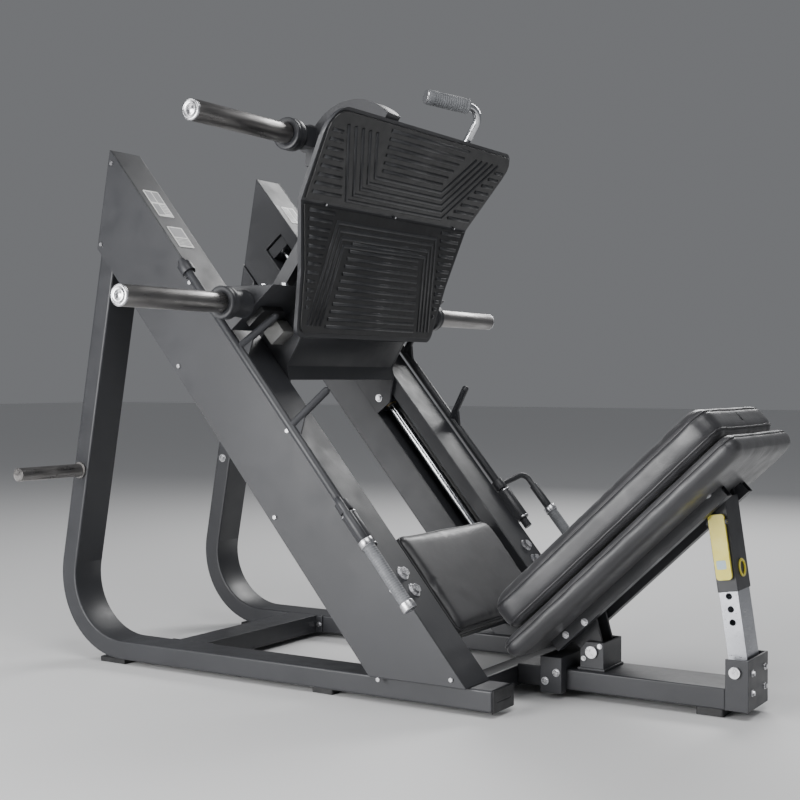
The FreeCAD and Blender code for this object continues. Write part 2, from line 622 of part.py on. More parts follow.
def lock_handle():
    """Hub on the shaft and the bent bar that carries the grip."""
    hub = rod(rail(1168, LOCK_N, LOCK_Y), rail(1196, LOCK_N, LOCK_Y), 17.0)
    bar = bent_rod([rail(1182, LOCK_N + 4, LOCK_Y + 9), rail(1182, GRIP_N, GRIP_Y), rail(1486, GRIP_N, GRIP_Y)],
                   22.0, HANDLE_R)
    collar = rod(rail(1226, GRIP_N, GRIP_Y), rail(1300, GRIP_N, GRIP_Y), 11.5)
    hole = rod(rail(1150, LOCK_N, LOCK_Y), rail(1210, LOCK_N, LOCK_Y), LOCK_R + RUN)
    return fuse(hub, bar, collar).cut(hole)


def lock_trim():
    """Bright ring above the grip and bright cap on its end."""
    ring_piece = pipe(rail(1302, GRIP_N, GRIP_Y), rail(1314, GRIP_N, GRIP_Y), GRIP_R + 1, HANDLE_R + RUN)
    cap = rod(rail(1486, GRIP_N, GRIP_Y), rail(1492, GRIP_N, GRIP_Y), GRIP_R)
    return [ring_piece, cap]


shaft = lock_shaft()
turn_bar = lock_handle()
lock_grip = pipe(rail(1314, GRIP_N, GRIP_Y), rail(1486, GRIP_N, GRIP_Y), GRIP_R, HANDLE_R + RUN)
trim = lock_trim()
for side, make in (("right", lambda s: s), ("left", mirrored)):
    save("lock_shaft_" + side, make(shaft))
    save("lock_handle_" + side, make(turn_bar), *[make(s) for s in trim])
    save("lock_grip_" + side, make(lock_grip))

# ---- backrest --------------------------------------------------------------------------------------------
save("back_cushion", back_bar(BACK_T0, BACK_T1, 0, CUSHION_H, -BACK_HALF, BACK_HALF, 20.0))
shell = back_bar(SHELL_T0, BACK_T1 + 6, -0.5, -SHELL_H, -BACK_HALF, BACK_HALF, 22.0)
frame_channel = back_bar(-30, FRAME_END + 12, FRAME_H0 + 0.5, -SHELL_H - 5, -FRAME_OUT - 10, FRAME_OUT + 10)
strut_pocket = back_bar(470, 600, -28, -SHELL_H - 5, -62, 62)
save("back_shell", shell.cut(frame_channel).cut(strut_pocket))

top_pin_at = back(*STRUT_TOP)
foot_at = xz(STRUT_FOOT)
axis = (top_pin_at - foot_at).normalize()
across = Vector(axis.z, 0, -axis.x)
pin_reach = (top_pin_at - foot_at).Length

side_rail = back_bar(-6, FRAME_END, FRAME_H0, FRAME_H1, FRAME_IN, FRAME_OUT)
side_rail = side_rail.cut(back_bar(-7, FRAME_END + 1, FRAME_H0 - 3, FRAME_H1 + 3, FRAME_IN + 3, FRAME_OUT - 3))
ties = [back_bar(t, t + 30, FRAME_H0, FRAME_H0 - 24, -FRAME_IN, FRAME_IN) for t in (6, 90, 250, 440)]
tongue_eye = Part.makeCylinder(22.0, TONGUE_OUT - TONGUE_IN, Vector(hinge_x, TONGUE_IN, hinge_z), Vector(0, 1, 0))
tongue = prism([back(8, FRAME_H0), back(120, FRAME_H0), (hinge_x + 21, hinge_z + 6), (hinge_x - 12, hinge_z - 18)],
               TONGUE_IN, TONGUE_OUT)
top_bore = rod(top_pin_at + Vector(0, -200, 0), top_pin_at + Vector(0, 200, 0), 7.0 + RUN)
frame = fuse(*both(side_rail, tongue, tongue_eye), *ties).cut(top_bore).cut(hinge_bore)
save("backrest_frame", frame)
top_pin = fuse(
    rod(top_pin_at + Vector(0, -FRAME_OUT - 6, 0), top_pin_at + Vector(0, FRAME_OUT + 6, 0), 7.0),
    *both(rod(top_pin_at + Vector(0, FRAME_OUT, 0), top_pin_at + Vector(0, FRAME_OUT + 6, 0), 10.0)),
)
save("strut_top_pin", top_pin)


def strut_box(a0, a1, half, half_y):
    """Box along the strut between two distances from its foot pivot."""
    p, q = foot_at + axis * a0, foot_at + axis * a1
    return prism([p - across * half, q - across * half, q + across * half, p + across * half], -half_y, half_y)


def cross_pin(a, r):
    at = foot_at + axis * a
    return rod(at - Vector(0, 100, 0), at + Vector(0, 100, 0), r)


inner_half = STRUT_HALF - STRUT_WALL - STRUT_GAP
inner_half_y = STRUT_HALF_Y - STRUT_WALL - STRUT_GAP
foot_round = Part.makeCylinder(inner_half, 2 * inner_half_y, foot_at - Vector(0, inner_half_y, 0), Vector(0, 1, 0))
inner_bar = fuse(strut_box(0, 330, inner_half, inner_half_y), foot_round)
inner_bar = inner_bar.cut(strut_box(40, 340, inner_half - 3, inner_half_y - 3)).cut(cross_pin(0, 8.0 + RUN))
for k in range(-4, 2):
    at = foot_at + axis * (PIN_AT + k * HOLE_STEP)
    inner_bar = inner_bar.cut(rod(at, at - Vector(0, 60, 0), HOLE_R))
p, q = foot_at + axis * (PIN_AT - SLOT_HALF), foot_at + axis * (PIN_AT + SLOT_HALF)
pin_slot = prism([p - across * HOLE_R, q - across * HOLE_R, q + across * HOLE_R, p + across * HOLE_R], -60, -30)
inner_bar = inner_bar.cut(pin_slot)
save("strut_inner", inner_bar)

crown = Part.makeCylinder(18.0, 2 * STRUT_HALF_Y, top_pin_at - Vector(0, STRUT_HALF_Y, 0), Vector(0, 1, 0))
outer_bar = fuse(strut_box(176, pin_reach - 12, STRUT_HALF, STRUT_HALF_Y),
                 strut_box(pin_reach - 14, pin_reach, 18.0, STRUT_HALF_Y), crown)
outer_bar = outer_bar.cut(strut_box(170, pin_reach + 40, STRUT_HALF - STRUT_WALL, STRUT_HALF_Y - STRUT_WALL))
pin_at = foot_at + axis * PIN_AT
lever_pivot = foot_at + axis * LEVER_AT + Vector(0, LEVER_Y, 0)
ears = []
for sign in (-1, 1):
    edges = [sign * (LEVER_HALF + 0.4), sign * STRUT_HALF]
    low, high = lever_pivot - axis * 6, lever_pivot + axis * 6
    ring = [low + across * edges[0], high + across * edges[0], high + across * edges[1], low + across * edges[1]]
    ears.append(prism(ring, LEVER_Y - 4, -STRUT_HALF_Y))
outer_bar = fuse(outer_bar.cut(cross_pin(pin_reach, 9.0)), *ears)
outer_bar = outer_bar.cut(rod(pin_at, pin_at - Vector(0, 60, 0), HOLE_R))
outer_bar = outer_bar.cut(rod(lever_pivot - across * 30, lever_pivot + across * 30, LEVER_PIN_R + RUN))
save("strut_outer", outer_bar)

save("strut_marker_ring", pipe(pin_at + across * STRUT_HALF, pin_at + across * (STRUT_HALF + 4), 21.0, 15.0))
pin_tip, pin_shoulder, pin_end = [pin_at + Vector(0, y, 0) for y in (-30, -44.9, -48.9)]
save("pop_pin", fuse(rod(pin_tip, pin_shoulder, 7.4), rod(pin_shoulder, pin_end, 3.0)))

lever_top = foot_at + axis * (LEVER_AT + 18)
lever_low = foot_at + axis * 204
lever_ring = [lever_low - across * 18, lever_top - across * LEVER_HALF, lever_top + across * LEVER_HALF,
              lever_low + across * 18]
lever = prism(lever_ring, LEVER_Y - 4, LEVER_Y + 4, 8.0)
save("release_lever", fuse(lever, rod(lever_pivot - across * 23.5, lever_pivot + across * 23.5, LEVER_PIN_R)))

print("top pin", top_pin_at.x + X_SHIFT, top_pin_at.z, "lever pivot", lever_pivot.x + X_SHIFT, lever_pivot.z)
print("strut axis", axis, "across", across)
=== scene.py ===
import json
import math
import bmesh
import bpy
from mathutils import Matrix, Vector
from mathutils.bvhtree import BVHTree
from mathutils.kdtree import KDTree


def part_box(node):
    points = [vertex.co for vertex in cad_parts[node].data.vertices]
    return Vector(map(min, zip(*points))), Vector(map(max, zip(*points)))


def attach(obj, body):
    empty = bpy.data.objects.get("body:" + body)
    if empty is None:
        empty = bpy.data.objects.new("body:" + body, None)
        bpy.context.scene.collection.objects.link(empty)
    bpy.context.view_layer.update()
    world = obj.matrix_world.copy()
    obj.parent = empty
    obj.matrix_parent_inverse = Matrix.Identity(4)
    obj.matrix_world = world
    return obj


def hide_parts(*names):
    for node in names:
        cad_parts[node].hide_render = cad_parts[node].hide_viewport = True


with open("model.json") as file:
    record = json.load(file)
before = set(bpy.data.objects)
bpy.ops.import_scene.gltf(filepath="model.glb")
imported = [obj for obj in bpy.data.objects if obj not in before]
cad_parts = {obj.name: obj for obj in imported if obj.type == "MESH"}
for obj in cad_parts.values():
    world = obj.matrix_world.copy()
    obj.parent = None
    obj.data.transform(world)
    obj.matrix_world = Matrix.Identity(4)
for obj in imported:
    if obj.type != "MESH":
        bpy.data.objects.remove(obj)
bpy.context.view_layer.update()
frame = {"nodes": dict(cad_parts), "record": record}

record = frame["record"]
joints = {j["name"]: j for j in record["behaviour"]["joints"]}


# ---- local frames, from the joints and the boxes of the CAD nodes ----------------------------------------
def mid(node):
    """Middle of a node's box."""
    low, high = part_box(node)
    return (Vector(low) + Vector(high)) / 2


UP_RAIL = Vector(joints["carriage_slide"]["axis"]).normalized()
RAIL_N = Vector((UP_RAIL.z, 0, -UP_RAIL.x))
LOCK_POS = Vector(joints["lock_right_turn"]["pos_m"])
LOCK_HEIGHT = 0.008
# the top end of the beams' top faces, on the machine's middle
RAIL_ORIGIN = Vector((LOCK_POS.x, 0, LOCK_POS.z)) - RAIL_N * LOCK_HEIGHT
ACROSS = Vector((0, 1, 0))
# the same corner of the beams in part.py, which centres the machine only when it writes it
RAIL_TOP = Vector((-1.133, 0, 1.365))
FRAME_SHIFT = RAIL_ORIGIN - RAIL_TOP


def rail(s, n, y=0.0):
    """Point s metres down the rail and n above the beams' top face."""
    return RAIL_ORIGIN - UP_RAIL * s + RAIL_N * n + ACROSS * y


BACK_ANGLE = math.radians(43.25)
BACK_T = Vector((math.cos(BACK_ANGLE), 0, math.sin(BACK_ANGLE)))
BACK_N = Vector((-math.sin(BACK_ANGLE), 0, math.cos(BACK_ANGLE)))


# ---- materials -------------------------------------------------------------------------------------------
class Mat:
    """Small helper that builds one procedural material."""

    def __init__(self, name, color, rough, metal=0.0):
        self.m = bpy.data.materials.new(name)
        self.m.use_nodes = True
        self.m.diffuse_color = (*color, 1)
        self.n = self.m.node_tree.nodes
        self.l = self.m.node_tree.links
        self.p = self.n["Principled BSDF"]
        self.p.inputs["Base Color"].default_value = (*color, 1)
        self.p.inputs["Roughness"].default_value = rough
        self.p.inputs["Metallic"].default_value = metal
        self.coords = self.n.new("ShaderNodeTexCoord").outputs["Object"]
        self.last_bump = None

    def set(self, **values):
        for key, value in values.items():
            self.p.inputs[key.replace("_", " ")].default_value = value
        return self

    def mapped(self, scale):
        node = self.n.new("ShaderNodeMapping")
        node.inputs["Scale"].default_value = scale
        self.l.new(self.coords, node.inputs["Vector"])
        return node.outputs["Vector"]

    def noise(self, scale, detail=3.0, rough=0.55, stretch=None):
        node = self.n.new("ShaderNodeTexNoise")
        node.inputs["Scale"].default_value = scale
        node.inputs["Detail"].default_value = detail
        node.inputs["Roughness"].default_value = rough
        self.l.new(self.mapped(stretch) if stretch else self.coords, node.inputs["Vector"])
        return node.outputs["Fac"]

    def cells(self, scale, feature="F1", stretch=None):
        node = self.n.new("ShaderNodeTexVoronoi")
        node.feature = feature
        node.inputs["Scale"].default_value = scale
        self.l.new(self.mapped(stretch) if stretch else self.coords, node.inputs["Vector"])
        return node.outputs["Distance"]

    def ramp(self, fac, low, high, a, b):
        node = self.n.new("ShaderNodeMapRange")
        for key, value in zip(("From Min", "From Max", "To Min", "To Max"), (low, high, a, b)):
            node.inputs[key].default_value = value
        self.l.new(fac, node.inputs["Value"])
        return node.outputs["Result"]

    def rough(self, fac, low, high, a, b):
        self.l.new(self.ramp(fac, low, high, a, b), self.p.inputs["Roughness"])
        return self

    def tint(self, fac, other, low=0.35, high=0.7):
        node = self.n.new("ShaderNodeMix")
        node.data_type = "RGBA"
        source = self.p.inputs["Base Color"]
        if source.links:
            self.l.new(source.links[0].from_socket, node.inputs["A"])
        else:
            node.inputs["A"].default_value = source.default_value
        node.inputs["B"].default_value = (*other, 1)
        self.l.new(self.ramp(fac, low, high, 0.0, 1.0), node.inputs["Factor"])
        self.l.new(node.outputs["Result"], source)
        return self

    def bump(self, height, distance, strength=1.0):
        node = self.n.new("ShaderNodeBump")
        node.inputs["Distance"].default_value = distance
        node.inputs["Strength"].default_value = strength
        self.l.new(height, node.inputs["Height"])
        if self.last_bump:
            self.l.new(self.last_bump, node.inputs["Normal"])
        self.last_bump = node.outputs["Normal"]
        self.l.new(self.last_bump, self.p.inputs["Normal"])
        return self


def powder_coat(name, color, lighter):
    m = Mat(name, color, 0.42)
    m.tint(m.noise(3.2, 4.0), lighter, 0.42, 0.72)
    m.rough(m.noise(14.0, 5.0), 0.3, 0.7, 0.34, 0.5)
    m.bump(m.noise(900.0, 2.0), 0.00018, 0.55)
    m.bump(m.noise(160.0, 2.0), 0.00022, 0.3)
    return m.m


def polished(name, color, rough, streak):
    m = Mat(name, color, rough, 1.0)
    m.rough(m.noise(60.0, 6.0, 0.6, streak), 0.3, 0.7, rough * 0.7, rough * 1.8)
    m.tint(m.noise(9.0, 3.0), tuple(c * 0.78 for c in color), 0.45, 0.75)
    m.bump(m.noise(300.0, 2.0, 0.5, streak), 0.00002, 0.15)
    return m.m


def leatherette():
    m = Mat("black_leatherette", (0.026, 0.026, 0.029), 0.4)
    m.set(Sheen_Weight=0.12, Sheen_Roughness=0.5, Coat_Weight=0.2, Coat_Roughness=0.3)
    m.tint(m.noise(7.0, 4.0), (0.038, 0.038, 0.042), 0.42, 0.7)
    m.rough(m.noise(22.0, 5.0), 0.3, 0.7, 0.33, 0.5)
    m.bump(m.cells(620.0, "SMOOTH_F1"), 0.00035, 0.55)
    m.bump(m.noise(260.0, 4.0), 0.0003, 0.35)
    m.bump(m.noise(9.0, 3.0), 0.004, 0.22)
    return m.m


def rubber(name, color, rough=0.62):
    m = Mat(name, color, rough)
    m.tint(m.noise(30.0, 4.0), tuple(c * 1.35 + 0.003 for c in color), 0.45, 0.75)
    m.rough(m.noise(45.0, 4.0), 0.3, 0.7, rough * 0.82, min(1.0, rough * 1.18))
    m.bump(m.noise(700.0, 3.0), 0.0002, 0.5)
    return m.m


def lacquer():
    m = Mat("yellow_paint", (0.78, 0.66, 0.05), 0.32)
    m.set(Coat_Weight=0.35, Coat_Roughness=0.12)
    m.tint(m.noise(26.0, 4.0), (0.83, 0.74, 0.13), 0.4, 0.7)
    m.rough(m.noise(60.0, 4.0), 0.3, 0.7, 0.26, 0.4)
    m.bump(m.noise(350.0, 2.0), 0.00012, 0.4)
    return m.m


MATS = {
    "frame_paint": powder_coat("frame_paint", (0.030, 0.031, 0.035), (0.038, 0.039, 0.044)),
    "guide_chrome": polished("guide_chrome", (0.72, 0.73, 0.75), 0.12, (1, 1, 1)),
    # dark_chrome: its dark base colour is a painted reflection of dark surroundings on the chrome
    "dark_chrome": polished("dark_chrome", (0.30, 0.29, 0.285), 0.3, (1, 0.15, 1)),
    "bright_steel": polished("bright_steel", (0.74, 0.74, 0.76), 0.24, (1, 1, 1)),
    "black_rubber": rubber("black_rubber", (0.015, 0.015, 0.016), 0.38),
    # lighter rubber of the mat ribs: a painted highlight on the raised ribs
    "rib_highlight_rubber": rubber("rib_highlight_rubber", (0.027, 0.028, 0.031), 0.36),
    "black_leatherette": leatherette(),
    "yellow_paint": lacquer(),
    "strut_steel": polished("strut_steel", (0.46, 0.47, 0.5), 0.3, (1, 1, 8)),
    "grip_rubber": rubber("grip_rubber", (0.16, 0.165, 0.175), 0.55),
    "bronze": polished("bronze", (0.5, 0.36, 0.16), 0.3, (1, 1, 1)),
    "black_plastic": rubber("black_plastic", (0.02, 0.02, 0.022), 0.45),
    "pale_plastic": rubber("pale_plastic", (0.2, 0.2, 0.195), 0.4),
    "label_white": rubber("label_white", (0.82, 0.82, 0.80), 0.4),
    "label_grey": rubber("label_grey", (0.34, 0.34, 0.35), 0.4),
    "inlay_blue": rubber("inlay_blue", (0.42, 0.55, 0.6), 0.35),
}
slot_of = {entry["node"]: entry["material_slot"] for entry in record["subparts"]}
for node, obj in frame["nodes"].items():
    for index in range(max(1, len(obj.material_slots))):
        if not obj.material_slots:
            obj.data.materials.append(None)
        obj.material_slots[index].link = "OBJECT"
        obj.material_slots[index].material = MATS[slot_of[node]]


# ---- mesh helpers ----------------------------------------------------------------------------------------
def add(name, mesh, mat, body, *stands_for, extra=()):
    """New piece from a mesh, with its material, on its body, instead of the CAD nodes it stands for.

    A material that the record doesn't know, such as a label's, is listed under black_plastic."""
    obj = bpy.data.objects.new(name, mesh)
    bpy.context.scene.collection.objects.link(obj)
    mesh.materials.append(MATS[mat])
    for other in extra:
        mesh.materials.append(MATS[other])
    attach(obj, body)
    if stands_for:
        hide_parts(*stands_for)
    return obj


def mesh_from(bm, name, smooth=True):
    """Mesh of a bmesh, which is freed, with its faces turned outwards."""
    mesh = bpy.data.meshes.new(name)
    bmesh.ops.recalc_face_normals(bm, faces=bm.faces)
    bm.to_mesh(mesh)
    bm.free()
    if smooth:
        mesh.shade_smooth()
    return mesh


def frame_at(origin, axis, side):
    """Matrix whose Z is axis and X is side."""
    z = Vector(axis).normalized()
    x = (Vector(side) - z * z.dot(Vector(side))).normalized()
    y = z.cross(x)
    return Matrix.Translation(origin) @ Matrix((x, y, z)).transposed().to_4x4()


def lathe(bm, profile, origin, axis, steps=48, mat=0):
    """Closed turned shape: profile is (radius, height) from the axis back to the axis."""
    sideways = (0.3, 0.2, 0.9) if abs(Vector(axis).normalized().y) > 0.5 else (0, 1, 0)
    place = frame_at(origin, axis, sideways)
    turns = [2 * math.pi * k / steps for k in range(steps)]
    rings = []
    for r, h in profile:
        if r < 1e-6:
            rings.append([bm.verts.new(place @ Vector((0, 0, h)))])
        else:
            rings.append([bm.verts.new(place @ Vector((r * math.cos(a), r * math.sin(a), h))) for a in turns])
    for a, b in zip(rings, rings[1:]):
        for k in range(steps):
            j = (k + 1) % steps
            corners = [a[k % len(a)], a[j % len(a)], b[j % len(b)], b[k % len(b)]]
            corners = list(dict.fromkeys(corners))
            if len(corners) > 2:
                bm.faces.new(corners).material_index = mat


def ring_lathe(bm, profile, origin, axis, steps=48, mat=0):
    """Turned shape whose profile is a closed loop off the axis."""
    lathe(bm, list(profile) + [profile[0]], origin, axis, steps, mat)
    bmesh.ops.remove_doubles(bm, verts=bm.verts, dist=1e-6)


def soft_edge(r0, r1, length, bevel, parts=4):
    """Profile of a round piece from r0 at height 0 to r1 at length, with rounded rims."""
    points = [(0, 0)]
    for k in range(parts + 1):
        a = math.pi / 2 * k / parts
        points.append((r0 - bevel + bevel * math.sin(a), bevel - bevel * math.cos(a)))
    for k in range(parts + 1):
        a = math.pi / 2 * k / parts
        points.append((r1 - bevel + bevel * math.cos(a), length - bevel + bevel * math.sin(a)))
    points.append((0, length))
    return points


def tube_along(bm, points, radius, closed=False, sides=10, flat=1.0, normal=None, mat=0):
    """Sweep of a round or flattened section along a polyline."""
    count = len(points)
    rings = []
    up = Vector(normal) if normal else None
    for i, p in enumerate(points):
        before = points[(i - 1) % count] if closed or i else p
        after = points[(i + 1) % count] if closed or i < count - 1 else p
        run = (Vector(after) - Vector(before)).normalized()
        n = up if up else run.orthogonal().normalized()
        n = (n - run * run.dot(n)).normalized()
        if not normal:
            up = n
        side = run.cross(n)
        rings.append([bm.verts.new(Vector(p) + side * radius * math.cos(2 * math.pi * k / sides)
                                   + n * radius * flat * math.sin(2 * math.pi * k / sides))
                      for k in range(sides)])
    pairs = list(zip(rings, rings[1:])) + ([(rings[-1], rings[0])] if closed else [])
    for a, b in pairs:
        for k in range(sides):
            bm.faces.new((a[k], a[(k + 1) % sides], b[(k + 1) % sides], b[k])).material_index = mat
    if not closed:
        bm.faces.new(rings[0]).material_index = mat
        bm.faces.new(rings[-1][::-1]).material_index = mat


def rounded_loop(corners, radii, steps=6):
    """Points round a flat polygon with arcs at its corners, of one radius or of one radius each."""
    out = []
    count = len(corners)
    if not isinstance(radii, list):
        radii = [radii] * count
    for i, (c, radius) in enumerate(zip(corners, radii)):
        c = Vector(c)
        a = (Vector(corners[i - 1]) - c).normalized()
        b = (Vector(corners[(i + 1) % count]) - c).normalized()
        half = a.angle(b) / 2
        centre = c + (a + b).normalized() * (radius / math.sin(half))
        start = c + a * (radius / math.tan(half)) - centre
        stop = c + b * (radius / math.tan(half)) - centre
        total = start.angle(stop)
        for k in range(steps + 1):
            f = k / steps
            spoke = start * math.sin((1 - f) * total) + stop * math.sin(f * total)
            out.append(centre + spoke / math.sin(total))
    return out


def plate(bm, loop, normal, thick, bevel=0.0, mat=0):
    """Flat plate over a loop of points, raised by thick along normal, with an eased top edge."""
    normal = Vector(normal)
    centre = sum((Vector(p) for p in loop), Vector()) / len(loop)
    rows = [(0.0, 0.0), (thick - bevel, 0.0)]
    if bevel:
        rows += [(thick - bevel * 0.3, bevel * 0.3), (thick, bevel)]
    rings = []
    for height, inset in rows:
        ring = []
        for p in loop:
            p = Vector(p)
            towards = (centre - p).normalized()
            ring.append(bm.verts.new(p + towards * inset + normal * height))
        rings.append(ring)
    count = len(loop)
    for a, b in zip(rings, rings[1:]):
        for k in range(count):
            bm.faces.new((a[k], a[(k + 1) % count], b[(k + 1) % count], b[k])).material_index = mat
    bm.faces.new(rings[0][::-1]).material_index = mat
    bm.faces.new(rings[-1]).material_index = mat


SAME_POINT = 0.00001
SHARP = math.radians(32.0)


def eased(obj, width, segments=2, clamp=True):
    """Joins a CAD node's faces and rounds its sharp edges, by modifiers on its object."""
    weld = obj.modifiers.new("weld", "WELD")
    weld.merge_threshold = SAME_POINT
    mod = obj.modifiers.new("eased", "BEVEL")
    mod.width = width
    mod.segments = segments
    mod.limit_method = "ANGLE"
    mod.angle_limit = SHARP
    mod.harden_normals = False
    mod.use_clamp_overlap = clamp


# ---- padded pieces ---------------------------------------------------------------------------------------
CLOTH_FRAMES = 18
CROWN = 0.002


def pad_mesh(name, size, radius, voxel, cap, flat_side):
    """Swollen foam block in its own frame: X along, Y across, Z thick, flat on flat_side.

    The cloth simulation moves no point further than cap."""
    length, width, thick = size
    bm = bmesh.new()
    bmesh.ops.create_cube(bm, size=1.0)
    bmesh.ops.scale(bm, verts=bm.verts, vec=(length, width, thick))
    upright = [e for e in bm.edges if abs((e.verts[0].co - e.verts[1].co).z) > thick * 0.9]
    bmesh.ops.bevel(bm, geom=upright, offset=radius * 1.6, segments=6, profile=0.5, affect="EDGES")
    rims = [e for e in bm.edges if abs(e.verts[0].co.z - e.verts[1].co.z) < 1e-6 and len(e.link_faces) == 2
            and abs(e.link_faces[0].normal.z - e.link_faces[1].normal.z) > 0.5]
    bmesh.ops.bevel(bm, geom=rims, offset=radius, segments=5, profile=0.5, affect="EDGES")
    mesh = mesh_from(bm, name)
    obj = bpy.data.objects.new(name, mesh)
    bpy.context.scene.collection.objects.link(obj)
    remesh = obj.modifiers.new("remesh", "REMESH")
    remesh.mode = "VOXEL"
    remesh.voxel_size = voxel
    bake(obj)
    start = [v.co.copy() for v in obj.data.vertices]
    cloth = obj.modifiers.new("cloth", "CLOTH")
    cloth.settings.use_pressure = True
    cloth.settings.uniform_pressure_force = 4.0
    cloth.settings.effector_weights.gravity = 0.0
    cloth.settings.quality = 4
    cloth.settings.tension_stiffness = 12
    cloth.settings.compression_stiffness = 12
    cloth.settings.bending_stiffness = 2.5
    scene = bpy.context.scene
    for f in range(1, CLOTH_FRAMES + 1):
        scene.frame_set(f)
    bake(obj)
    scene.frame_set(1)
    for v, old in zip(obj.data.vertices, start):
        move = v.co - old
        if move.length > cap:
            v.co = old + move * (cap / move.length)
        if v.co.z * flat_side > thick / 2:
            v.co.z = thick / 2 * flat_side
    swell = CROWN + 0.0
    for v in obj.data.vertices:
        fx, fy = 2 * v.co.x / length, 2 * v.co.y / width
        crown = max(0.0, 1 - fx ** 4) * max(0.0, 1 - fy ** 4)
        if v.co.z * -flat_side > 0:
            v.co.z += -flat_side * swell * crown
    mesh = obj.data
    bpy.data.objects.remove(obj)
    return mesh


def bake(obj):
    """Replaces the object's mesh by its evaluated one, with no modifiers left."""
    deps = bpy.context.evaluated_depsgraph_get()
    deps.update()
    mesh = bpy.data.meshes.new_from_object(obj.evaluated_get(deps))
    obj.modifiers.clear()
    obj.data = mesh


def groove(mesh, loops, half, depth):
    """Presses a seam into the mesh along each row of points."""
    samples = [p for loop in loops for p in loop]
    kd = KDTree(len(samples))
    for i, p in enumerate(samples):
        kd.insert(p, i)
    kd.balance()
    for v in mesh.vertices:
        distance = kd.find(v.co)[2]
        if distance < half:
            v.co -= v.normal * depth * (1 + math.cos(math.pi * distance / half)) / 2


def on_surface(mesh, points, lift):
    """Each point moved to the nearest place on the mesh, then lifted off it."""
    tree = BVHTree.FromPolygons([v.co for v in mesh.vertices], [p.vertices for p in mesh.polygons])
    out = []
    for p in points:
        at, normal, _, _ = tree.find_nearest(p)
        out.append(at + normal * lift)
    return out


def dense(points, step=0.006):
    """Closed loop of points with more of them between, about a step apart."""
    out = []
    for a, b in zip(points, points[1:] + points[:1]):
        count = max(1, int((b - a).length / step))
        out += [a.lerp(b, k / count) for k in range(count)]
    return out


SEAM_HALF = 0.006
SEAM_DEPTH = 0.0028
END_STEP = 0.004
WELT_R = 0.0026
END_WELT_R = 0.0022


def pad(name, node, centre, along, normal, size, radius, cap, voxel, body, flat_side, seams, split=0.0):
    """One upholstered pad: swollen cover, pressed seams, and welts along them.

    A seam is (height, inset). With split, a short seam runs down the middle of each end."""
    place = frame_at(centre, normal, along)
    mesh = pad_mesh(name, size, radius, voxel, cap, flat_side)
    length, width, thick = size
    loops = []
    for z, inset in seams:
        hx, hy = length / 2 - inset, width / 2 - inset
        rect = [(-hx, -hy, z), (hx, -hy, z), (hx, hy, z), (-hx, hy, z)]
        loops.append(dense(rounded_loop([Vector(p) for p in rect], radius * 1.6 - inset * 0.4, 8)))
    surfaced = [on_surface(mesh, loop, 0.0) for loop in loops]
    ends = []
    if split:
        for end in (-1, 1):
            count = int(thick * split / END_STEP)
            line = [Vector((end * length, 0, seams[0][0] - k * END_STEP)) for k in range(count)]
            ends.append(on_surface(mesh, line, 0.0))
    groove(mesh, surfaced + ends, SEAM_HALF, SEAM_DEPTH)
    welts = bmesh.new()
    for loop in surfaced:
        tube_along(welts, on_surface(mesh, loop, 0.0006), WELT_R, closed=True, sides=8)
    for line in ends:
        tube_along(welts, on_surface(mesh, line, 0.0004), END_WELT_R, sides=8)
    mesh.shade_smooth()
    mesh.transform(place)
    obj = add(name, mesh, "black_leatherette", body, node)
    smooth = obj.modifiers.new("smooth", "SUBSURF")
    smooth.levels = 1
    smooth.render_levels = 1
    welt_mesh = mesh_from(welts, name + "_welt")
    welt_mesh.transform(place)
    add(name + "_welt", welt_mesh, "black_leatherette", body)


LOWER_PAD_DROP = 0.008
pad("back_cover", "back_cushion", mid("back_cushion"), BACK_T, BACK_N, size=(0.712, 0.432, 0.082),
    radius=0.028, cap=0.007, voxel=0.0065, body="backrest", flat_side=-1,
    seams=[(0.026, 0.006), (-0.034, 0.0)], split=0.62)
pad("back_lower_cover", "back_shell", mid("back_shell") - BACK_T * LOWER_PAD_DROP, BACK_T, BACK_N,
    size=(0.758, 0.434, 0.047), radius=0.020, cap=0.006, voxel=0.0065, body="backrest", flat_side=1,
    seams=[(0.014, 0.0)])
pad("seat_cover", "seat_pad", mid("seat_pad"), -UP_RAIL, RAIL_N, size=(0.286, 0.466, 0.046),
    radius=0.016, cap=0.006, voxel=0.006, body="frame", flat_side=-1,
    seams=[(0.016, 0.003), (-0.016, 0.0)])


# ---- ribbed rubber on the foot plate ---------------------------------------------------------------------
# the two flat parts of the foot plate: up their faces, and out of them towards the user's feet
LOW_UP = Vector((0.2217, 0, 0.9751))
TOP_UP = Vector((0.5519, 0, 0.8339))
LOW_OUT = Vector((LOW_UP.z, 0, -LOW_UP.x))
TOP_OUT = Vector((TOP_UP.z, 0, -TOP_UP.x))
RIB_WIDTH = 0.0105
RIB_HEIGHT = 0.0034
RIB_SUNK = 0.0006
RIB_STEPS = 6
MAT_THICK = 0.0045
MAT_EDGE = 0.0015
MAT_SUNK = 0.005


